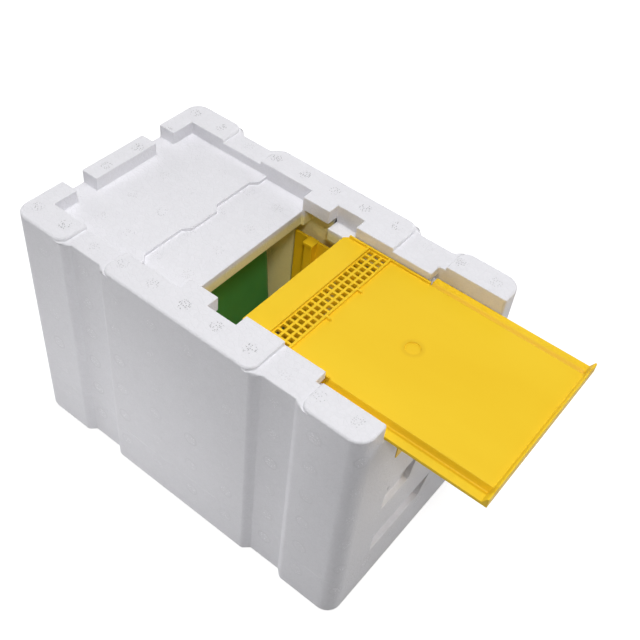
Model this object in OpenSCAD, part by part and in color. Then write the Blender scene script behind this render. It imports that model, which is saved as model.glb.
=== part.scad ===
// Mini mating nuc box of moulded foam, stood upside down on its lid with the floor slide drawn out.
// X runs along the box towards the entrance end and Z up from the lid's outer face. Millimetres.

/* [Box] */
// Length over the end walls
box_length = 250; // [242:1:270]
// Width over the side walls
box_width = 153; // [150:1:165]
// Height from the lid's outer face to the rim round the floor
box_height = 174; // [168:1:190]
// Radius of the upright outer corners
corner_r = 10; // [6:0.5:12]
// Thickness of the long walls
side_wall = 19; // [18:0.5:21]
// Thickness of the end walls
end_wall = 18; // [17:0.5:20]
// Radius of the upright inner corners
cavity_r = 5; // [2:0.5:8]

/* [Side grooves] */
// Distance from an end to the middle of the groove next to it
groove_from_end = 55.5; // [50:0.5:60]
// Groove width at the surface
groove_mouth = 31; // [27:0.5:34]
// Groove width at its bottom
groove_floor = 22.5; // [18:0.5:25]
// Groove depth
groove_depth = 4; // [2:0.25:5]
// Depth of the channel that a groove cuts over the rim
channel_depth = 2.5; // [1:0.25:4]
// Corner radius of the rim's raised pads
pad_r = 6.5; // [3:0.5:8]

/* [Lid] */
// Height of the lid's outside
lid_height = 36; // [33:0.5:42]
// Thickness of the lid's skirt round the tongue
lid_skirt = 9; // [7:0.5:10]
// Length of the tongue that stands out of the body into the lid
tongue_height = 10; // [8:0.5:14]
// Height of the lid's inner plug over the end of the tongue
plug_rise = 4; // [2:0.25:6]
// Clearance between lid and body
lid_fit = 0.3; // [0.2:0.05:0.6]

/* [Floor] */
// Depth of the floor below the rim
floor_depth = 9; // [8:0.25:12]
// Drop from the floor to the bed of the slide
bed_drop = 2.2; // [1.5:0.1:4]
// Thickness of the floor under the slide
floor_t = 10.8; // [8:0.2:14]
// Thickness of the rim across the back end
back_rim = 13; // [10:0.5:16]
// Half width of the block in the middle of the back rim
block_half = 25; // [20:0.5:30]
// Width of the two notches in the back rim
notch_w = 15; // [10:0.5:18]
// Thickness of the rims along the sides
side_rim = 19.5; // [18.5:0.25:21.5]
// Distance from the back end to the step in front of the slide
step_from_back = 73; // [68:0.5:78]
// How far the tabs of the step stand out
step_tab = 4; // [2:0.25:6]
// Half width of the middle tab
step_tab_half = 11; // [8:0.5:16]
// Distance from the side rim to the inner corner of a side tab
step_tab_side = 12; // [8:0.5:16]
// Distance from the back end to the filling opening
opening_from_back = 112.5; // [108:0.5:116]
// Width of the floor's ledges beside the filling opening
opening_ledge = 9; // [8:0.25:11]
// Length of the stop blocks beside the opening
stop_block = 20; // [14:0.5:22]
// Thickness of the stop blocks, which hang over the opening
stop_block_t = 10; // [8.5:0.25:11]
// Length of the gaps where the slide's runners drop in
runner_gap = 20; // [14:0.5:24]
// Distance from the end wall to the lips that hold the runners down
lip_from_end = 26; // [20:0.5:36]
// Drop from the slide's bed to the runners' tracks
track_drop = 1.8; // [1:0.1:2.5]
// Height of the slots under the lips
slot_height = 4.8; // [4.6:0.1:6]

/* [Floor slide] */
// How far the shut slide's end stands back from the entrance face
slide_set_in = 11; // [8:0.2:18]
// Gap between the shut slide's runners and the stop blocks
stop_gap = 4.7; // [2:0.1:8]
// Thickness of the slide's panel
slide_t = 2.2; // [1.6:0.1:2.6]
// Height of the runners
runner_h = 2.2; // [1.6:0.1:4.3]
// Width of a runner
runner_w = 4.75; // [4:0.25:7]
// Width of the groove beside a runner
runner_groove = 4.75; // [2:0.25:5.5]
// How far the slide is drawn out from shut
slide_drawn = 69.5; // [40:0.5:90]
// Clearance round the slide
slide_fit = 0.2; // [0.1:0.05:0.4]
// Clearance at the slide's side edges
slide_side_fit = 0.6; // [0.3:0.05:1]
// Distance from the leading edge to the grille
grille_start = 18; // [14:0.5:22]
// Rows of grille holes along the slide
grille_rows = 3; // [2:1:4]
// Grille holes across the slide
grille_cols = 20; // [14:1:22]
// Side of a square grille hole as a share of the pitch
grille_hole_share = 0.667; // [0.5:0.01:0.75]

/* [Frames] */
// Pitch of the comb frames
frame_pitch = 35; // [32:0.5:36]
// Gap between the entrance wall and the frame next to it
frame_from_entrance = 25.5; // [20:0.5:30]
// Gap between the feeder and the frame next to it
frame_from_feeder = 5.5; // [4:0.5:14]
// Gap between neighbouring frames
frame_gap = 1; // [0.6:0.1:2]
// Thickness of the frame's plates
frame_t = 2.5; // [1.8:0.1:3]
// Space between the frames' feet and the floor
foot_clear = 11.5; // [8:0.1:16]
// Width of the lowered ledge along one edge of the top bar
ledge_w = 8; // [5:0.5:10]
// Clearance between a lug and the nubs beside it
lug_fit = 1; // [0.3:0.1:2]
// Length of the end lugs beyond the cavity wall
lug_reach = 4.3; // [3:0.1:4.8]
// How far a leg's panel stands back from the frame's edges
leg_inset = 2.25; // [0.5:0.25:3]
// Width of a leg's rib at its foot
foot_w = 6; // [6:0.5:12]

/* [Feeder] */
// Gap from the back wall to the feeder's mouth
feeder_gap = 4.5; // [3:0.25:8]
// Gap from a side wall to the feeder's mouth
feeder_side_gap = 4.5; // [3:0.25:8]
// Space between the feeder's bottom and the floor
feeder_clear = 23.7; // [10:0.1:36]
// Draft of each feeder wall along the box
feeder_draft_x = 3.5; // [1:0.25:5]
// Draft of each feeder wall across the box
feeder_draft_y = 7; // [3:0.25:9]
// Thickness of the feeder's walls
feeder_t = 1.6; // [1.2:0.1:2.4]
// Width of a hanging lug as a share of the feeder's length
feeder_lug_share = 0.192; // [0.14:0.002:0.22]

/* [Entrance] */
// Width of the bees' entrance
entrance_w = 24; // [16:0.5:26]
// Height of the bees' entrance
entrance_h = 10; // [7:0.25:11]
// Distance from the floor inside to the middle of the entrance
entrance_from_floor = 19; // [15:0.5:28]
// Height of the gate that shuts the entrance
gate_h = 18; // [16:0.25:20]
// Length of the gate
gate_w = 26; // [25:0.25:28]
// Thickness of the gate
gate_t = 2; // [1.4:0.1:2.6]
// Thickness of the foam lips in front of the gate
gate_lip = 2; // [1.5:0.1:3]
// Clearance round the gate
gate_fit = 0.3; // [0.2:0.05:0.5]
// Half width of the recessed panel on the entrance face
panel_half = 39.5; // [38:0.5:42]
// Depth of the recessed panel
panel_depth = 1; // [0.5:0.1:1.5]

/* [Hidden] */
$fn = 48;

// Overrun of every cut past the face that it opens
over = 1;

// Planes and levels of the box
back = -box_length / 2;
front = box_length / 2;
side = box_width / 2;
cavity_x = front - end_wall;
cavity_y = side - side_wall;
tongue_z = lid_height - tongue_height;
plug_z = tongue_z + plug_rise;
floor_z = box_height - floor_depth;
bed_z = floor_z - bed_drop;
track_z = bed_z - track_drop;
lip_z = track_z + slot_height;
ceiling_z = bed_z - floor_t;

// Places along the floor
step_x = back + step_from_back;
tab_x = step_x + step_tab;
opening_x = back + opening_from_back;
opening_half = cavity_y - opening_ledge;
floor_half = side - side_rim;
stop_x = opening_x + stop_block;
stop_under_z = box_height - stop_block_t;
stop_web = 2;
lip_x = stop_x + runner_gap;
lip_end_x = cavity_x - lip_from_end;

// Middle of the grooves on the long sides
groove_x = front - groove_from_end;

// The slide, drawn out from the step
shut_x = tab_x + slide_fit;
slide_x = shut_x + slide_drawn;
slide_length = front - slide_set_in - shut_x;
slide_narrow = stop_x + stop_gap - shut_x;
slide_z = bed_z + slide_fit;
slide_top_z = slide_z + slide_t;
slide_half = floor_half - slide_side_fit;
narrow_half = opening_half - slide_side_fit;
runner_z = track_z + slide_fit;
web_t = 1;
groove_slope = 0.42 * runner_groove;
web_overlap = 2;
track_half = slide_half - runner_w - runner_groove - web_overlap - slide_side_fit;
narrow_chamfer = 3;
edge_rib_w = 1.4;
edge_rib_h = 1.8;
grille_pitch = 2 * (narrow_half - edge_rib_w) / grille_cols;
grille_hole = grille_hole_share * grille_pitch;
end_lip_w = 3.4;
end_lip_t = 1;
end_lip_h = 2.6;
grille_rib_w = 1.4;
grille_tab_l = 4.4;
grille_tab_half = 13.5;
gate_mark_r = 4.5;
gate_mark_depth = 0.7;

// Rebate in the mouth where the lugs of frames and feeder hang
seat_fit = 0.3;
bar_z = plug_z + seat_fit;
rebate_z = bar_z + frame_t + seat_fit;
rebate_reach = lug_reach + seat_fit;
rebate_end = 3;
nub_w = 4;

// A frame's own places, from its middle
frame_count = 3;
frame_height = ceiling_z - foot_clear - bar_z;
frame_w = frame_pitch - frame_gap;
frame_half = frame_w / 2;
lug_w = frame_pitch - nub_w - 2 * lug_fit;
leg_w = frame_w - 2 * leg_inset;
bar_half = cavity_y - lid_fit - seat_fit;
lobe_r = 7;
lobe_margin = 20.9;
lobe_y = bar_half - lobe_margin;
neck_depth = 3.5;
ledge_drop = 3;
ledge_t = 2;
skirt_t = 1.6;
skirt_h = 12;
guide_w = 4;
guide_h = 9;
leg_t = 2;
leg_margin = 1.5;
leg_taper = 0.5;
leg_short = 0.5;
rib_t = 5;
rib_taper = 1.5;
cap_h = 2.5;
cap_lip = 0.8;
shell_t = 1.6;

// Middle of the frame at the entrance, and the feeder's side of the last frame
first_frame_x = cavity_x - frame_from_entrance - frame_half;
last_frame_x = first_frame_x - (frame_count - 1) * frame_pitch - frame_half;

// The feeder fills the rest of the cavity's length
bead_w = 1.5;
feeder_length = last_frame_x - frame_from_feeder - bead_w + cavity_x - feeder_gap;
feeder_width = 2 * (cavity_y - feeder_side_gap);
feeder_height = ceiling_z - feeder_clear - bar_z;
feeder_x = -cavity_x + feeder_gap + feeder_length / 2;
feeder_r = 8;
feeder_floor_t = 2;
bead_h = 3.5;
lug_place_share = 0.22;
feeder_lug_x = lug_place_share * feeder_length;
feeder_lug_w = feeder_lug_share * feeder_length;

// The entrance face's own places
entrance_z = ceiling_z - entrance_from_floor;
gate_slot_front = front - panel_depth - gate_lip;
gate_slot_back = gate_slot_front - gate_t - gate_fit;
gate_window_h = 14;
gate_end_gap = 1;
gate_tab_w = 6;
gate_tab_h = 13;
panel_above = 17;
panel_below = 39.5;
grip_h = 15;
grip_overlap = 1;
grip_z = entrance_z - panel_below + grip_overlap - grip_h;
grip_depth = 3.6;
grip_inner = 14;
grip_outer = 41;
grip_slant = 4.5;
grip_end_slant = 1;
finger_share = 0.345;
finger_h = finger_share * (grip_z - lid_height);
finger_depth = 3.8;
finger_near = -42;
finger_far = 8;
finger_slant = 9;

foam = [0.93, 0.93, 0.94];
yellow = [0.95, 0.78, 0.12];
green = [0.16, 0.66, 0.30];

// A rectangle with round corners, centred
module rounded(l, w, r) {
    square([l - 2 * r, w], center = true);
    square([l, w - 2 * r], center = true);
    for (x = [-1, 1], y = [-1, 1])
        translate([x * (l / 2 - r), y * (w / 2 - r)]) circle(r);
}

// A box from its low corner to its high corner
module block(low, high) {
    translate(low) cube(high - low);
}

// A box with its mirror image across the middle of the width
module both_sides(low, high) {
    for (m = [0, 1]) mirror([0, m, 0]) block(low, high);
}

// A flat outline given along X and Z, thickened along Y between two places
module upright(y_low, y_high, points) {
    translate([0, y_high, 0]) rotate([90, 0, 0]) linear_extrude(y_high - y_low) polygon(points);
}

// Outline over everything
module box_plan() {
    rounded(box_length, box_width, corner_r);
}

// Outline of walls and lid with the sloping grooves of the long sides
module wall_plan() {
    difference() {
        box_plan();
        for (x = [-1, 1], m = [0, 1])
            mirror([0, m]) translate([x * groove_x, side]) polygon([
                [-groove_mouth / 2, over], [-groove_mouth / 2, 0], [-groove_floor / 2, -groove_depth],
                [groove_floor / 2, -groove_depth], [groove_mouth / 2, 0], [groove_mouth / 2, over]]);
    }
}

// Outline of the rim's raised pads, parted by the channels
module pad_plan() {
    middle = 2 * groove_x - groove_mouth;
    outer = groove_from_end - groove_mouth / 2;
    intersection() {
        box_plan();
        union() {
            rounded(middle, box_width, pad_r);
            for (x = [-1, 1]) translate([x * (box_length - outer) / 2, 0]) rounded(outer, box_width, pad_r);
        }
    }
}

// Solid block of the body with its tongue, before anything is cut out
module body_block() {
    translate([0, 0, lid_height]) linear_extrude(box_height - channel_depth - lid_height) wall_plan();
    translate([0, 0, box_height - channel_depth - over]) linear_extrude(channel_depth + over) pad_plan();
    translate([0, 0, tongue_z]) linear_extrude(tongue_height + over)
        rounded(box_length - 2 * (lid_skirt + lid_fit), box_width - 2 * (lid_skirt + lid_fit), cavity_r);
}

// The inside of the body with the rebate for the lugs
module cavity_cut() {
    translate([0, 0, tongue_z - over]) linear_extrude(ceiling_z - tongue_z + over)
        rounded(2 * cavity_x, 2 * cavity_y, cavity_r);
    both_sides([-cavity_x + rebate_end, cavity_y - cavity_r, tongue_z - over],
               [cavity_x - rebate_end, cavity_y + rebate_reach, rebate_z]);
}

// Foam nubs between the lugs, which keep frames and feeder at their places
module nubs() {
    frame_nubs = [for (i = [0 : frame_count]) first_frame_x + frame_pitch * (1 / 2 - i)];
    lug_outer = feeder_lug_x + feeder_lug_w / 2 + nub_w / 2 + seat_fit;
    lug_inner = feeder_lug_x - feeder_lug_w / 2 - nub_w / 2 - seat_fit;
    feeder_nubs = [for (s = [-1, 1], d = [lug_inner, lug_outer]) feeder_x + s * d];
    for (x = concat(frame_nubs, feeder_nubs))
        both_sides([x - nub_w / 2, cavity_y, bar_z],
                   [x + nub_w / 2, cavity_y + rebate_reach + over, rebate_z + over]);
}

// The floor's raised part ends in a step with a middle tab and two side tabs
module bed_plan() {
    tab_side = floor_half - step_tab_side;
    polygon([[step_x, -tab_side], [step_x, -step_tab_half - step_tab], [tab_x, -step_tab_half],
             [tab_x, step_tab_half], [step_x, step_tab_half + step_tab], [step_x, tab_side],
             [tab_x, tab_side + step_tab], [tab_x, floor_half], [opening_x, floor_half],
             [opening_x, -floor_half], [tab_x, -floor_half], [tab_x, -tab_side - step_tab]]);
}

// The recess over the floor, the slide's bed, its tracks and slots, and the filling opening
module floor_cut() {
    top = box_height + over;
    block([back + back_rim, -floor_half, floor_z], [opening_x, floor_half, top]);
    translate([0, 0, bed_z]) linear_extrude(top - bed_z) bed_plan();
    block([opening_x - over, -opening_half, bed_z], [cavity_x, opening_half, top]);
    block([cavity_x - over, -floor_half, track_z], [front + over, floor_half, top]);
    both_sides([stop_x, track_half, track_z], [lip_x, floor_half, top]);
    both_sides([lip_x - over, track_half, track_z], [lip_end_x + over, floor_half, lip_z]);
    both_sides([lip_end_x, track_half, track_z], [cavity_x, floor_half, top]);
    block([opening_x, -opening_half, ceiling_z - over], [cavity_x, opening_half, bed_z + over]);
    both_sides([opening_x + stop_web, opening_half - over, ceiling_z - over], [stop_x, cavity_y, stop_under_z]);
    both_sides([back - over, block_half, floor_z], [back + back_rim + over, block_half + notch_w, top]);
}

// Two grips, the finger recess at the lid and the gate's panel, slot and entrance
module entrance_cut() {
    z = entrance_z;
    block([front - panel_depth, -panel_half, z - panel_below], [front + over, panel_half, z + panel_above]);
    block([gate_slot_front - over, -panel_half, z - gate_window_h / 2],
          [front + over, panel_half, z + gate_window_h / 2]);
    block([gate_slot_back, -panel_half, z - gate_h / 2 - gate_fit],
          [gate_slot_front, panel_half, z + gate_h / 2 + gate_fit]);
    block([cavity_x - over, -entrance_w / 2, z - entrance_h / 2],
          [front, entrance_w / 2, z + entrance_h / 2]);
    for (m = [0, 1]) mirror([0, m, 0]) side_outline(grip_depth, [
        [-grip_outer, grip_z], [-grip_inner, grip_z],
        [-grip_inner + grip_slant, grip_z + grip_h], [-grip_outer + grip_end_slant, grip_z + grip_h]]);
    side_outline(finger_depth, [
        [finger_near, lid_height - over], [finger_far, lid_height - over],
        [finger_far + finger_slant, lid_height + finger_h], [finger_near, lid_height + finger_h]]);
}

// A flat outline given along Y and Z, sunk into the entrance face
module side_outline(depth, points) {
    translate([front - depth, 0, 0]) rotate([90, 0, 90]) linear_extrude(depth + over) polygon(points);
}

// Foam body: walls, floor and tongue in one moulding
module body() {
    color(foam) {
        difference() {
            body_block();
            cavity_cut();
            floor_cut();
            entrance_cut();
        }
        nubs();
    }
}

// Foam lid: a skirt round the tongue and a plug inside it that carries the frames
module lid() {
    well_l = box_length - 2 * lid_skirt;
    well_w = box_width - 2 * lid_skirt;
    well_z = tongue_z - lid_fit;
    color(foam) {
        difference() {
            linear_extrude(lid_height) wall_plan();
            translate([0, 0, well_z]) linear_extrude(lid_height) rounded(well_l, well_w, cavity_r);
        }
        translate([0, 0, well_z - over]) linear_extrude(plug_z - well_z + over)
            rounded(2 * (cavity_x - lid_fit), 2 * (cavity_y - lid_fit), cavity_r);
    }
}

// Cross section of the slide's wide part, from the near runner to the far one
module slide_section() {
    groove_half = slide_half - runner_w;
    panel_half_w = groove_half - runner_groove;
    web_half = panel_half_w - web_overlap;
    runner_top_z = runner_z + runner_h;
    web_top_z = runner_z + web_t;
    half = [[web_half, slide_z], [web_half, runner_z], [slide_half, runner_z], [slide_half, runner_top_z],
            [groove_half, runner_top_z], [groove_half - groove_slope, web_top_z],
            [panel_half_w + groove_slope, web_top_z], [panel_half_w, slide_top_z]];
    mirrored = [for (i = [len(half) - 1 : -1 : 0]) [-half[i][0], half[i][1]]];
    polygon(concat(half, mirrored));
}

// Narrow leading part of the slide with its cut corners
module slide_narrow_plan() {
    polygon([[0, -narrow_half + narrow_chamfer], [narrow_chamfer, -narrow_half],
             [slide_narrow + over, -narrow_half], [slide_narrow + over, narrow_half],
             [narrow_chamfer, narrow_half], [0, narrow_half - narrow_chamfer]]);
}

// Yellow floor slide: panel, runners, air grille and end lip
module floor_slide() {
    grille_l = grille_rows * grille_pitch;
    grille_half = (grille_cols * grille_pitch) / 2;
    rib_top_z = slide_top_z + edge_rib_h;
    lip_top_z = slide_top_z + end_lip_h;
    after_grille = grille_start + grille_l;
    color(yellow) translate([slide_x, 0, 0]) difference() {
        union() {
            translate([0, 0, slide_z]) linear_extrude(slide_t) slide_narrow_plan();
            translate([slide_narrow, 0, 0]) rotate([90, 0, 90])
                linear_extrude(slide_length - slide_narrow) slide_section();
            both_sides([narrow_chamfer, narrow_half - edge_rib_w, slide_z],
                       [slide_narrow + over, narrow_half, rib_top_z]);
            for (x = [grille_start - grille_rib_w, after_grille])
                block([x, -grille_half, slide_z], [x + grille_rib_w, grille_half, rib_top_z]);
            both_sides([after_grille, grille_tab_half, slide_z],
                       [after_grille + grille_tab_l, grille_tab_half + grille_rib_w, rib_top_z]);
            upright(-slide_half, slide_half, [
                [slide_length - end_lip_w, runner_z], [slide_length, runner_z], [slide_length, lip_top_z],
                [slide_length - end_lip_t, lip_top_z], [slide_length - end_lip_w, runner_z + runner_h]]);
        }
        for (r = [0 : grille_rows - 1], c = [0 : grille_cols - 1])
            translate([grille_start + grille_pitch * (r + 1 / 2),
                       grille_pitch * (c + 1 / 2) - grille_half, slide_z + slide_t / 2])
                cube([grille_hole, grille_hole, slide_t + 2 * over], center = true);
        translate([slide_length / 2, 0, slide_top_z - gate_mark_depth])
            cylinder(r = gate_mark_r, h = gate_mark_depth + over);
    }
}

// Yellow gate that slides across the entrance behind the foam lips
module entrance_gate() {
    near = -panel_half + gate_end_gap;
    plate_front = gate_slot_front - gate_fit / 2;
    plate_back = plate_front - gate_t;
    color(yellow) {
        block([plate_back, near, entrance_z - gate_h / 2],
              [plate_front, near + gate_w, entrance_z + gate_h / 2]);
        block([plate_back, near, entrance_z - gate_tab_h / 2],
              [front, near + gate_tab_w, entrance_z + gate_tab_h / 2]);
    }
}

// Green feeder tub, mouth towards the lid, hung by two lugs at each end
module feeder() {
    inner_l = feeder_length - 2 * feeder_t;
    inner_w = feeder_width - 2 * feeder_t;
    inner_r = feeder_r - feeder_t;
    draft = [1 - 2 * feeder_draft_x / feeder_length, 1 - 2 * feeder_draft_y / feeder_width];
    tank_h = feeder_height - feeder_floor_t;
    lug_y = feeder_width / 2 + bead_w;
    color(green) translate([feeder_x, 0, bar_z]) {
        difference() {
            union() {
                linear_extrude(feeder_height, scale = draft, slices = 1)
                    rounded(feeder_length, feeder_width, feeder_r);
                linear_extrude(bead_h)
                    rounded(feeder_length + 2 * bead_w, feeder_width + 2 * bead_w, feeder_r + bead_w);
            }
            translate([0, 0, -over]) linear_extrude(over + bead_h) rounded(inner_l, inner_w, inner_r);
            linear_extrude(tank_h, scale = draft, slices = 1) rounded(inner_l, inner_w, inner_r);
        }
        for (s = [-1, 1])
            both_sides([s * feeder_lug_x - feeder_lug_w / 2, lug_y - bead_w, 0],
                       [s * feeder_lug_x + feeder_lug_w / 2, cavity_y + lug_reach, frame_t]);
    }
}

// Top bar of a frame: a plate with half of a bone-shaped gap, its lugs and the lowered ledge
module frame_bar() {
    plate_edge = frame_half - ledge_w;
    difference() {
        block([-frame_half, -bar_half, 0], [plate_edge, bar_half, frame_t]);
        translate([-frame_half, 0, -over]) linear_extrude(frame_t + 2 * over) {
            for (y = [-lobe_y, lobe_y]) translate([0, y]) circle(lobe_r);
            square([2 * neck_depth, 2 * lobe_y], center = true);
        }
    }
    both_sides([-lug_w / 2, bar_half - over, 0], [lug_w / 2, cavity_y + lug_reach, frame_t]);
    block([plate_edge - skirt_t, -bar_half, 0], [plate_edge, bar_half, ledge_drop + ledge_t]);
    block([plate_edge - skirt_t, -bar_half, ledge_drop], [frame_half, bar_half, ledge_drop + ledge_t]);
    block([frame_half - skirt_t, -bar_half, ledge_drop], [frame_half, bar_half, ledge_drop + skirt_h]);
    upright(-bar_half, bar_half, [[-guide_w / 2, 0], [guide_w / 2, 0], [0, guide_h]]);
}

// Outline of a leg along X and Z, narrowing towards its foot
function leg_outline(root_half, foot_half, low, high) =
    [[-root_half, low], [root_half, low], [foot_half, high], [-foot_half, high]];

// One leg of a frame: a panel along the wall, a tapered rib, hollow towards the wall, and its foot cap
module frame_leg() {
    panel_out = bar_half - leg_margin;
    rib_in = panel_out - leg_t - rib_t;
    rib_foot = foot_w / 2;
    rib_root = rib_foot + rib_taper;
    difference() {
        union() {
            upright(panel_out - leg_t, panel_out,
                    leg_outline(leg_w / 2, leg_w / 2 - leg_taper, 0, frame_height - leg_short));
            upright(rib_in, panel_out, leg_outline(rib_root, rib_foot, 0, frame_height));
            block([-rib_foot - cap_lip, rib_in - cap_lip, frame_height - cap_h],
                  [rib_foot + cap_lip, panel_out, frame_height]);
        }
        upright(rib_in + shell_t, panel_out + over,
                leg_outline(rib_root - shell_t, rib_foot - shell_t, frame_t, frame_height - cap_h));
    }
}

// Yellow comb frame: top bar against the lid and two legs; the first one is turned round
module frame(place) {
    turned = place == 0 ? 0 : 1;
    color(yellow) translate([first_frame_x - place * frame_pitch, 0, bar_z]) mirror([turned, 0, 0]) {
        frame_bar();
        for (m = [0, 1]) mirror([0, m, 0]) frame_leg();
    }
}

body();
lid();
floor_slide();
entrance_gate();
feeder();
frame(0);  // frame_1
frame(1);  // frame_2
frame(2);  // frame_3
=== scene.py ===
import math
import bmesh
import bpy
import numpy as np
from mathutils import Matrix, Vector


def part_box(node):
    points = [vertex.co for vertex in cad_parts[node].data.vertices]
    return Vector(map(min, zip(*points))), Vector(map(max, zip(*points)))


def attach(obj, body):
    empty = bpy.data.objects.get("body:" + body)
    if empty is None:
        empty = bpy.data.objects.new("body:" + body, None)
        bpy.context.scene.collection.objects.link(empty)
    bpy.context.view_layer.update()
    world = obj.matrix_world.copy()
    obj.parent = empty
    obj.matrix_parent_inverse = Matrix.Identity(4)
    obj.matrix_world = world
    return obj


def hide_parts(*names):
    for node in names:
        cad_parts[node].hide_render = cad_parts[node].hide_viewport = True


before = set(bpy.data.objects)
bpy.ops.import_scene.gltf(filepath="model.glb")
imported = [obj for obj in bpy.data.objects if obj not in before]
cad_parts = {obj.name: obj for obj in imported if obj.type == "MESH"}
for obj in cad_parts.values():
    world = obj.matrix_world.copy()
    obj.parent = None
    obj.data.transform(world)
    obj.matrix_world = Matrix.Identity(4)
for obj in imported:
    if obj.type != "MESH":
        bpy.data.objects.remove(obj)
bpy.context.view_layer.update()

# Body of the box: walls, floor and mouth tongue in one moulding of white foam beads.
# It is blown in a steam-heated mould, so every edge comes out soft, the beads show as a fine
# mesh of creases, and the steam vents leave rows of small round marks made of dots.
to_mm = 1000.0
half_length, half_width, rim_top = (to_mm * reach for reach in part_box("body")[1])


def wire(tree, kind, inputs=(), **settings):
    """A shader node with its settings; each input is either a plain value or another node's socket."""
    node = tree.nodes.new(kind)
    for key, value in settings.items():
        setattr(node, key, value)
    for key, value in dict(inputs).items():
        if isinstance(value, bpy.types.NodeSocket):
            tree.links.new(value, node.inputs[key])
        else:
            node.inputs[key].default_value = value
    return node


def finish_shader(name):
    """A new material with its node tree, its surface shader, its normal and its place in millimetres."""
    material = bpy.data.materials.new(name)
    material.use_nodes = True
    tree = material.node_tree
    place = wire(tree, "ShaderNodeTexCoord").outputs
    mm = wire(tree, "ShaderNodeVectorMath", {0: place["Object"], "Scale": to_mm}, operation="SCALE")
    return material, tree, tree.nodes["Principled BSDF"], place["Normal"], mm.outputs[0]


def sums(tree):
    """Shorthand for one step of arithmetic between sockets or numbers."""
    def step(operation, a, b=0.0, c=0.0):
        return wire(tree, "ShaderNodeMath", {0: a, 1: b, 2: c}, operation=operation).outputs[0]
    return step


def ramp(tree, value, low, high, start=0.0, end=1.0):
    """The value carried from low..high to start..end along a smooth step."""
    spans = {"Value": value, "From Min": low, "From Max": high, "To Min": start, "To Max": end}
    return wire(tree, "ShaderNodeMapRange", spans, interpolation_type="SMOOTHSTEP").outputs[0]


def noise(tree, place, scale, detail):
    """Soft noise about one half: scale is its waves to each unit of place, detail its finer layers."""
    return wire(tree, "ShaderNodeTexNoise", {"Vector": place, "Scale": scale, "Detail": detail}).outputs[0]


def tinted(tree, factor, first, second, clamp=True):
    """A colour on its way from the first to the second by a factor, and past them where it isn't clamped."""
    pair = {"Factor": factor, 6: first, 7: second}
    return wire(tree, "ShaderNodeMix", pair, data_type="RGBA", clamp_factor=clamp).outputs[2]


def distance(step, a, b):
    """The root of the sum of the squares of two offsets."""
    return step("SQRT", step("ADD", step("MULTIPLY", a, a), step("MULTIPLY", b, b)))


def emboss(tree, shader, height, strength):
    """Bump on a surface from its height in millimetres."""
    bump = wire(tree, "ShaderNodeBump", {"Height": height, "Distance": 1 / to_mm, "Strength": strength})
    tree.links.new(bump.outputs[0], shader.inputs["Normal"])


def by_face(step, flat, on_flat, on_wall):
    """One value on the flats and another on the walls."""
    return step("MULTIPLY_ADD", flat, on_flat - on_wall, on_wall)


def off_line(step, place, pitch, start):
    """Distance from a place to the nearest of evenly spaced lines: what rounding changes, times the pitch."""
    count = step("DIVIDE", step("SUBTRACT", place, start), pitch)
    return step("MULTIPLY", step("SUBTRACT", count, step("ROUND", count)), pitch)


# Vent marks, in millimetres: the grid on walls and flats, a mark's soft edge, its dots and its ring,
# and shares: how the strength follows a noise, and how much is lost below the level of the rim's pads.
row_pitch = 26.2
wall_column_pitch = 28.3
flat_column_pitch = 23.0
wall_column_start = 11.7
flat_column_start = -2.0
wall_row_start = -26.2
flat_row_start = 13.7
mark_edge = (3.2, 4.4)
dots_per_mm = 0.8
dot_scatter = 0.7
dot_edge = (0.2, 0.34)
ring_radius = 4.6
ring_edge = (0.2, 0.8)
depths_per_mm = 0.021
noise_span = (0.3, 0.7)
ring_span = (0.4, 0.7)
faintest_mark = 0.35
pad_level = rim_top - 2.0
lost_below_pads = 0.6


def vent_marks(tree, mm, at, flat, end):
    """Strength of the vents' dots and of the rings round them. A mark is where the distance to the
    nearest crossing of a grid is under a mark's radius; the grid goes by a wall's length and height, and
    by a flat's length and width. Round cells make the dots, and a slow noise sets each mark's strength."""
    step = sums(tree)
    across = step("MULTIPLY_ADD", end, step("SUBTRACT", at[1], at[0]), at[0])
    along = step("MULTIPLY_ADD", flat, step("SUBTRACT", at[1], at[2]), at[2])
    column_pitch = by_face(step, flat, flat_column_pitch, wall_column_pitch)
    column_start = by_face(step, flat, flat_column_start, wall_column_start)
    row_start = by_face(step, flat, flat_row_start, wall_row_start)
    off_column = off_line(step, across, column_pitch, column_start)
    off_row = off_line(step, along, row_pitch, row_start)
    reach = distance(step, off_column, off_row)
    mark = ramp(tree, reach, *mark_edge, 1.0, 0.0)
    scatter = {"Vector": mm, "Scale": dots_per_mm, "Randomness": dot_scatter}
    from_dot = wire(tree, "ShaderNodeTexVoronoi", scatter).outputs["Distance"]
    dot = ramp(tree, from_dot, *dot_edge, 1.0, 0.0)
    depth = noise(tree, mm, depths_per_mm, 1.0)
    strength = ramp(tree, depth, *noise_span, faintest_mark, 1.0)
    vent = step("MULTIPLY", step("MULTIPLY", mark, dot), strength)
    sunk_floor = step("MULTIPLY", flat, step("LESS_THAN", at[2], pad_level))
    vent = step("MULTIPLY", vent, step("MULTIPLY_ADD", sunk_floor, -lost_below_pads, 1.0))
    ring = ramp(tree, step("ABSOLUTE", step("SUBTRACT", reach, ring_radius)), *ring_edge, 1.0, 0.0)
    on_wall = step("MULTIPLY", step("SUBTRACT", 1.0, flat), ramp(tree, depth, *ring_span))
    return vent, step("MULTIPLY", ring, on_wall)


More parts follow.
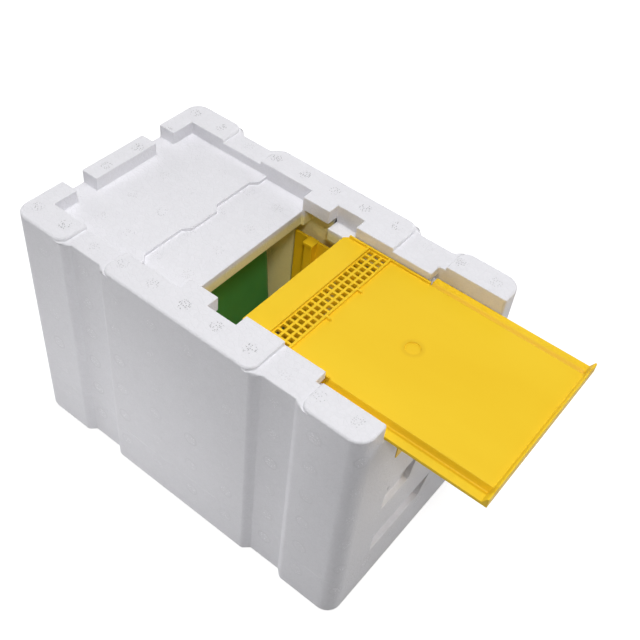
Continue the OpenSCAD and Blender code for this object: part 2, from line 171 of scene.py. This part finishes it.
# Foam: colours, how much of the tone and of the height in millimetres each part of it gives, and the
# inside, where warm light bounced from the yellow slide is painted in as beige, with its half length and
# half width and the soft ends of its height.
foam_white = (0.795, 0.79, 0.825, 1.0)
# Painted warm light: this beige stands for light bounced off the yellow slide onto the white foam inside.
painted_slide_bounce_beige = (0.88, 0.80, 0.42, 1.0)
black = (0.0, 0.0, 0.0, 1.0)
faces_one_way = 0.7
beads_per_mm = 0.29
crease_edge = (0.0, 0.14)
grains_per_mm = 1.1
clouds_per_mm = 0.018
plain_tone = 0.955
cloud_tone = 0.05
bead_tone = 0.02
painted_crease_shade = 0.015
flat_grain_tone = 0.05
wall_grain_tone = 0.12
flat_vent_tone = -0.57
wall_vent_tone = 0.35
ring_tone = -0.06
grain_height = 0.13
crease_height = -0.07
bead_height = 0.05
flat_vent_height = -0.25
wall_vent_height = 0.35
foam_bump = 0.85
foam_roughness = 0.60
grain_roughness = 0.16
inside_half_length = 107.4
inside_half_width = 57.9
inside_low_end = (38.0, 50.0)
inside_high_end = (157.0, 161.5)


def moulded_foam():
    """White foam, its colour times a tone: bead creases from cell edges, darkened as painted shade, a tint
    for each bead, a grain, and vent marks, which are dark pits on the flats, fainter on the sunk floor,
    and pale nubs in a faint ring on the walls. Inside, between the walls and under the floor, the white is
    tinted beige: painted warm light bounced from the yellow slide."""
    material, tree, shader, normal, mm = finish_shader("moulded_foam")
    step = sums(tree)
    at = wire(tree, "ShaderNodeSeparateXYZ", {0: mm}).outputs
    facing = wire(tree, "ShaderNodeSeparateXYZ", {0: normal}).outputs
    end = step("GREATER_THAN", step("ABSOLUTE", facing[0]), faces_one_way)
    flat = step("GREATER_THAN", step("ABSOLUTE", facing[2]), faces_one_way)
    vent, ring = vent_marks(tree, mm, at, flat, end)

    cells = {"Vector": mm, "Scale": beads_per_mm}
    beads = wire(tree, "ShaderNodeTexVoronoi", cells)
    edges = wire(tree, "ShaderNodeTexVoronoi", cells, feature="DISTANCE_TO_EDGE")
    crease = ramp(tree, edges.outputs["Distance"], *crease_edge, 1.0, 0.0)
    bead = wire(tree, "ShaderNodeSeparateColor", {0: beads.outputs["Color"]}).outputs[0]
    grain = noise(tree, mm, grains_per_mm, 3.0)
    cloud = noise(tree, mm, clouds_per_mm, 2.0)

    tone = step("MULTIPLY_ADD", bead, bead_tone, step("MULTIPLY_ADD", cloud, cloud_tone, plain_tone))
    # Painted shade: the creases between beads are darkened in colour, besides their dent in the bump.
    tone = step("SUBTRACT", tone, step("MULTIPLY", crease, painted_crease_shade))
    grain_tone = by_face(step, flat, flat_grain_tone, wall_grain_tone)
    tone = step("MULTIPLY_ADD", step("SUBTRACT", grain, 0.5), grain_tone, tone)
    tone = step("MULTIPLY_ADD", vent, by_face(step, flat, flat_vent_tone, wall_vent_tone), tone)
    tone = step("MULTIPLY_ADD", ring, ring_tone, tone)
    # Painted warm light: inside the box the white foam is tinted beige in place of light bounced from the
    # yellow slide.
    painted_bounce_share = step("MULTIPLY", step("LESS_THAN", step("ABSOLUTE", at[0]), inside_half_length),
                     step("LESS_THAN", step("ABSOLUTE", at[1]), inside_half_width))
    painted_bounce_share = step("MULTIPLY", painted_bounce_share, ramp(tree, at[2], *inside_low_end))
    painted_bounce_share = step("MULTIPLY", painted_bounce_share, ramp(tree, at[2], *inside_high_end, 1.0, 0.0))
    foam_with_painted_bounce = tinted(tree, painted_bounce_share, foam_white, painted_slide_bounce_beige)
    tree.links.new(tinted(tree, tone, black, foam_with_painted_bounce, clamp=False), shader.inputs["Base Color"])

    height = step("MULTIPLY_ADD", crease, crease_height, step("MULTIPLY", grain, grain_height))
    height = step("MULTIPLY_ADD", bead, bead_height, height)
    height = step("MULTIPLY_ADD", vent, by_face(step, flat, flat_vent_height, wall_vent_height), height)
    emboss(tree, shader, height, foam_bump)
    roughness = step("MULTIPLY_ADD", grain, grain_roughness, foam_roughness)
    tree.links.new(roughness, shader.inputs["Roughness"])
    shader.inputs["Specular IOR Level"].default_value = 0.3
    return material


def read(items, name, width=1, kind=np.float32):
    """One property of all of a mesh's items as an array, with a row for each item."""
    values = np.empty(len(items) * width, kind)
    items.foreach_get(name, values)
    return values.reshape(-1, width)


merged_within = 2e-6
flat_angle = math.radians(0.3)
sharp_angle = math.radians(12)


def softened(node, name, material, radius, segments=3):
    """Copy of a solid with soft edges: doubles are merged and flat triangles joined, and each edge whose
    two faces differ by over the sharp angle is rounded by the radius worked out from the edge's middle."""
    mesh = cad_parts[node].data.copy()
    mesh.name = name
    form = bmesh.new()
    form.from_mesh(mesh)
    bmesh.ops.remove_doubles(form, verts=form.verts, dist=merged_within)
    bmesh.ops.dissolve_limit(form, angle_limit=flat_angle, verts=form.verts, edges=form.edges)
    form.to_mesh(mesh)
    form.free()
    if "custom_normal" in mesh.attributes:
        mesh.attributes.remove(mesh.attributes["custom_normal"])
    middle = read(mesh.vertices, "co", 3)[read(mesh.edges, "vertices", 2, np.int32)].mean(1) * to_mm
    normals = read(mesh.polygons, "normal", 3)
    sides = read(mesh.polygons, "loop_total", kind=np.int32).ravel()
    edge_of = read(mesh.loops, "edge_index", kind=np.int32).ravel()
    order = np.argsort(edge_of, kind="stable")
    faces = np.repeat(np.arange(len(sides)), sides)[order]
    first = np.searchsorted(edge_of[order], np.arange(len(mesh.edges)))
    last = np.searchsorted(edge_of[order], np.arange(len(mesh.edges)), side="right") - 1
    turn = (normals[faces[first]] * normals[faces[last]]).sum(1)
    round_by = np.where(turn < math.cos(sharp_angle), radius(*middle.T), 0.0)
    weights = mesh.attributes.new("bevel_weight_edge", "FLOAT", "EDGE")
    weights.data.foreach_set("value", (round_by / round_by.max()).astype(np.float32))
    mesh.polygons.foreach_set("use_smooth", np.ones(len(sides), bool))
    mesh.materials.clear()
    mesh.materials.append(material)
    piece = bpy.data.objects.new(name, mesh)
    bpy.context.scene.collection.objects.link(piece)
    arc = piece.modifiers.new("soft_edges", "BEVEL")
    arc.limit_method = "WEIGHT"
    arc.width = float(round_by.max()) / to_mm
    arc.segments = segments
    arc.use_clamp_overlap = False
    flats = piece.modifiers.new("flat_faces", "WEIGHTED_NORMAL")
    flats.weight = 100
    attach(piece, node)
    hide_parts(node)


# Edge radii of the foam, and the places on the body, all in millimetres, where they change.
foam_edge = 0.7
upright_edge = 1.6
rim_outer_edge = 1.5
rim_inner_edge = 0.6
grip_edge = 0.6
fine_edge = 0.3
joint_edge = 0.45
skin = 0.5
touch = 0.1
joint_level = 37
rim_middle = 60
panel_back = 116
panel_half = 39.7
panel_heights = (93, 151)
grip_back = 121
grip_half = 43
grip_top = 96
step_places = (-60, -30)
step_half = 58
step_heights = (162, 165.5)
channel_level = rim_top - 2.5
channel_middle = half_length - 55.5
pad_end_places = (15.3, 23)
pad_end_from = 69


def between(value, bounds):
    """True where a value lies between two bounds."""
    return (value > bounds[0]) & (value < bounds[1])


def on_outside(x, y):
    """True within a skin's depth of the long sides and the ends."""
    return (abs(y) > half_width - skin) | (abs(x) > half_length - skin)


def body_radius(x, y, z):
    """Radii by place, each holding over those before it: the uprights and the rim's outer edges are the
    softest. The rim's inner edges, the grips, the shallow panel with the gate's slot, the floor's step
    and the lid joint have less than the rest, and a pad's corner that runs out into the wall is sharp."""
    radius = np.where(on_outside(x, y), upright_edge, foam_edge)
    rim_outside = (abs(y) > rim_middle) | (abs(x) > half_length - 2 * skin)
    radius = np.where(z > rim_top - touch, np.where(rim_outside, rim_outer_edge, rim_inner_edge), radius)
    grips = (x > grip_back) & (abs(y) < grip_half) & (z < grip_top)
    radius = np.where(grips, grip_edge, radius)
    panel = (x > panel_back) & (abs(y) < panel_half) & between(z, panel_heights)
    floor_step = between(x, step_places) & (abs(y) < step_half) & between(z, step_heights)
    radius = np.where(panel | floor_step, fine_edge, radius)
    pad_ends = between(abs(abs(x) - channel_middle), pad_end_places) & (abs(y) > pad_end_from)
    radius = np.where(pad_ends & (abs(z - channel_level) < touch), 0.0, radius)
    return np.where(z < joint_level, joint_edge, radius)


white_foam = moulded_foam()
softened("body", "foam_body", white_foam, body_radius)

# Lid of the same foam: a skirt round the body's tongue and a plug inside that carries the frames.
# It is only pushed on; box and lid meet at a tight joint line.
lid_face_edge = 3.0
skirt_level = 35


def lid_radius(x, y, z):
    """Radii by place: the largest round the outer face, the uprights' along the skirt, and the joint's at
    the joint and inside."""
    skirt = on_outside(x, y) & (z < skirt_level)
    return np.where(z < touch, lid_face_edge, np.where(skirt, upright_edge, joint_edge))


softened("lid", "foam_lid", white_foam, lid_radius)

# Floor slide: one yellow injection moulding, a thin panel with a runner along each side, an air grille
# near its leading edge and a raised end lip. It runs in the slots of the foam floor.
slide_low, slide_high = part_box("floor_slide")
slide_middle = to_mm * (slide_low.x + slide_high.x) / 2
slide_level = 160.0
flow_stretch = (0.006, 0.022, 0.02)
grains_in_plastic = 2.2
specks_per_mm = 0.35
# Painted shade: this amber deepens the grooves beside the slide's runners; it also fills a soft ring round
# the middle.
ring_and_groove_shade_amber = (0.60, 0.32, 0.002, 1.0)
injection_ring_radius = 5.2
injection_ring_width = 2.6
injection_ring_strength = 0.24
groove_inner = (46.4, 47.6)
groove_outer = (50.6, 52.4)
groove_from = 57.0
groove_shade_strength = 0.42
speck_tone = 0.25
satin_height = 0.02
speck_height = 0.03
plastic_bump = 0.5
roughness_wander = 0.14


def moulded_plastic(name, colour, streaks, roughness):
    """Coloured plastic: slow flow streaks between two tones, a fine satin grain as bump, and a roughness
    that wanders a little. On the slide the colour turns a deeper amber in a soft ring round the middle,
    at the dimple where the plastic was injected, and, as painted shade, in the grooves beside the runners,
    between two distances from the middle."""
    material, tree, shader, _, mm = finish_shader(name)
    step = sums(tree)
    drawn = wire(tree, "ShaderNodeMapping", {"Vector": mm, "Scale": flow_stretch}).outputs[0]
    flow = noise(tree, drawn, 1.0, 3.0)
    grain = noise(tree, mm, grains_in_plastic, 2.0)
    specks = noise(tree, mm, specks_per_mm, 3.0)
    speckle = step("MULTIPLY", step("SUBTRACT", specks, 0.5), speck_tone)
    tone = step("ADD", ramp(tree, flow, *noise_span), speckle)
    streaked = tinted(tree, tone, streaks, colour)
    at = wire(tree, "ShaderNodeSeparateXYZ", {0: mm}).outputs
    reach = distance(step, step("SUBTRACT", at[0], slide_middle), at[1])
    off_ring = step("ABSOLUTE", step("SUBTRACT", reach, injection_ring_radius))
    ring = ramp(tree, off_ring, 0.0, injection_ring_width, injection_ring_strength, 0.0)
    aside = step("ABSOLUTE", at[1])
    # Painted shade in the grooves beside the runners: the colour deepens towards amber between two distances
    # from the middle.
    outer_side = ramp(tree, aside, *groove_outer, groove_shade_strength, 0.0)
    groove_shade = step("MULTIPLY", ramp(tree, aside, *groove_inner), outer_side)
    groove_shade = step("MULTIPLY", groove_shade, step("GREATER_THAN", at[0], groove_from))
    ring_and_groove_shade = step("MULTIPLY", step("ADD", ring, groove_shade), step("GREATER_THAN", at[2], slide_level))
    tree.links.new(tinted(tree, ring_and_groove_shade, streaked, ring_and_groove_shade_amber), shader.inputs["Base Color"])
    height = step("MULTIPLY_ADD", grain, satin_height, step("MULTIPLY", specks, speck_height))
    emboss(tree, shader, height, plastic_bump)
    wandering = step("MULTIPLY_ADD", specks, roughness_wander, roughness - roughness_wander / 2)
    tree.links.new(wandering, shader.inputs["Roughness"])
    shader.inputs["Specular IOR Level"].default_value = 0.25
    return material


plastic_edge = 0.35
dimple_edge = 0.3
dimple_reach = 6
grille_edge = 0.15
grille_places = (39, 55.5)
grille_half = 46.6


def slide_radius(x, y, z):
    """Radii by place: the least round the grille's holes, a little less than the plain edge's round the
    shallow dimple where the plastic was injected, so that its low wall keeps a flat, and else the plain
    edge's."""
    grille = between(x, grille_places) & (abs(y) < grille_half)
    dimple = np.hypot(x - slide_middle, y) < dimple_reach
    return np.where(dimple, dimple_edge, np.where(grille, grille_edge, plastic_edge))


bright_yellow = (0.87, 0.575, 0.017, 1.0)
deep_yellow = (0.84, 0.537, 0.0115, 1.0)
yellow_roughness = 0.48
yellow = moulded_plastic("yellow_plastic", bright_yellow, deep_yellow, yellow_roughness)
softened("floor_slide", "yellow_slide", yellow, slide_radius, segments=2)

# Entrance gate: a small plate with a finger tab, moulded of the same yellow plastic.
# It slides across the entrance behind two foam lips.


def plastic_radius(x, y, z):
    """The plain edge's radius all round."""
    return np.full(x.shape, plastic_edge)


softened("entrance_gate", "yellow_gate", yellow, plastic_radius, segments=2)

# Comb frames: three yellow injection mouldings, a top bar with half-bone gaps and two hollow legs.
# They hang by their lugs in the mouth's rebate; upside down they stand on the lid's plug.
for number in (1, 2, 3):
    softened(f"frame_{number}", f"comb_frame_{number}", yellow, plastic_radius, segments=2)

# Feeder: a green injection-moulded tub with drafted walls and a bead round its mouth.
# It hangs by two lugs at each end like a frame.
bright_green = (0.055, 0.30, 0.085, 1.0)
deep_green = (0.045, 0.26, 0.07, 1.0)
green_roughness = 0.38
green = moulded_plastic("green_plastic", bright_green, deep_green, green_roughness)
softened("feeder", "green_feeder", green, plastic_radius, segments=2)

# Studio: a white sheet under the box and soft lamps as in a light tent: one overhead, a smaller one above
# the camera that reaches in through the opening, and fill from the left, the right, behind and low in front.
# Two faint warm ones stand for the light that comes down through the thin yellow slide.
white = (1.0, 1.0, 1.0, 1.0)
sheet_half = 6
sheet_level = -0.0004
paper_grey = (0.4, 0.4, 0.4, 1.0)
whitening = (350.0, 1200.0)
white_near_box = 0.8


def looked_at(tree):
    """One where the camera, a mirrored ray or a ray through a clear piece looks at the surface, else none."""
    path = wire(tree, "ShaderNodeLightPath").outputs
    step = sums(tree)
    seen = step("MAXIMUM", path["Is Camera Ray"], path["Is Glossy Ray"])
    return step("MAXIMUM", seen, path["Is Transmission Ray"])


sheet_mesh = bpy.data.meshes.new("white_sheet")
sheet_corners = [(-sheet_half, -sheet_half, sheet_level), (sheet_half, -sheet_half, sheet_level),
                 (sheet_half, sheet_half, sheet_level), (-sheet_half, sheet_half, sheet_level)]
sheet_mesh.from_pydata(sheet_corners, [], [(0, 1, 2, 3)])
white_sheet = bpy.data.objects.new("white_sheet", sheet_mesh)
bpy.context.scene.collection.objects.link(white_sheet)
paper, fibres, sheet_shader, _, sheet_mm = finish_shader("white_paper")
sheet_shader.inputs["Base Color"].default_value = paper_grey
sheet_shader.inputs["Roughness"].default_value = 0.9
sheet_shader.inputs["Specular IOR Level"].default_value = 0.1
sheet_shader.inputs["Emission Color"].default_value = white
from_box = wire(fibres, "ShaderNodeVectorMath", {0: sheet_mm}, operation="LENGTH").outputs["Value"]
whiter_outwards = ramp(fibres, from_box, *whitening, white_near_box, 1.0)
shown_white = sums(fibres)("MULTIPLY", looked_at(fibres), whiter_outwards)
fibres.links.new(shown_white, sheet_shader.inputs["Emission Strength"])
sheet_mesh.materials.append(paper)
lamp_top = (0.0, 1.0, 0.001)


def soft_light(name, position, aim, size, watts):
    """A square lamp at a position, turned so that its back axis points away from what it is aimed at;
    its right side is square to that axis and to the lamps' top."""
    lamp = bpy.data.lights.new(name, "AREA")
    lamp.size = size
    lamp.energy = watts
    holder = bpy.data.objects.new(name, lamp)
    back = np.subtract(position, aim) / np.linalg.norm(np.subtract(position, aim))
    right = np.cross(lamp_top, back)
    right /= np.linalg.norm(right)
    turn = np.column_stack([right, np.cross(back, right), back])
    holder.matrix_world = Matrix.Translation(position) @ Matrix(turn.tolist()).to_4x4()
    holder.visible_camera = False
    bpy.context.scene.collection.objects.link(holder)
    return holder


def warm_light(name, position, aim, size, watts, colour):
    """A soft light of one colour that no glossy surface mirrors."""
    holder = soft_light(name, position, aim, size, watts)
    holder.data.color = colour
    holder.visible_glossy = False


box_middle = (0.0, 0.0, 0.1)
soft_light("overhead", (0.0, 0.0, 1.8), box_middle, 0.9, 16.5)
soft_light("above_camera", (0.62, -0.70, 1.45), box_middle, 0.2, 8.5)
soft_light("left_side", (-1.3, -0.5, 0.4), box_middle, 0.8, 6.0)
soft_light("right_side", (1.0, 0.9, 0.7), box_middle, 0.8, 3.4)
soft_light("right_low", (1.0, 0.7, 0.2), box_middle, 0.6, 2.5)
soft_light("behind", (-0.5, 1.3, 0.45), box_middle, 0.8, 4.0)
soft_light("left_low", (-0.12, -0.27, 0.04), (-0.06, -0.077, 0.03), 0.08, 0.06)
soft_light("front_low", (-0.02, -0.27, 0.04), (-0.02, -0.077, 0.03), 0.08, 0.06)
warm_light("through_slide", (0.06, -0.035, 0.09), (-0.03, 0.05, 0.115), 0.03, 0.019, (1.0, 0.85, 0.45))
warm_light("below_slide", (0.165, 0.0, 0.13), (0.125, -0.01, 0.06), 0.03, 0.004, (1.0, 0.80, 0.45))
world = bpy.data.worlds.new("surround")
bpy.context.scene.world = world
world.use_nodes = True
air = world.node_tree
air.nodes["Background"].inputs["Color"].default_value = white
air.links.new(looked_at(air), air.nodes["Background"].inputs["Strength"])

# Camera: a long lens looking down on the near corner of the entrance end.
# Its place, turn and length bring the box's edges where the photograph has them.
lens = bpy.data.cameras.new("photo_view")
lens.sensor_width = 36.0
lens.lens = 52.85
lens.clip_start = 0.01
view = bpy.data.objects.new("photo_view", lens)
eye = (0.24380, -0.31114, 0.53331)
ahead = np.array((-0.37513, 0.57791, -0.72478))
right = np.array((0.78301, 0.61604, 0.08593))
down = np.array((0.49615, -0.53527, -0.68360))
view_turn = Matrix(np.column_stack([right, -down, -ahead]).tolist()).to_4x4()
view.matrix_world = Matrix.Translation(eye) @ view_turn
bpy.context.scene.collection.objects.link(view)
bpy.context.scene.camera = view
bpy.context.scene.view_settings.view_transform = "Standard"
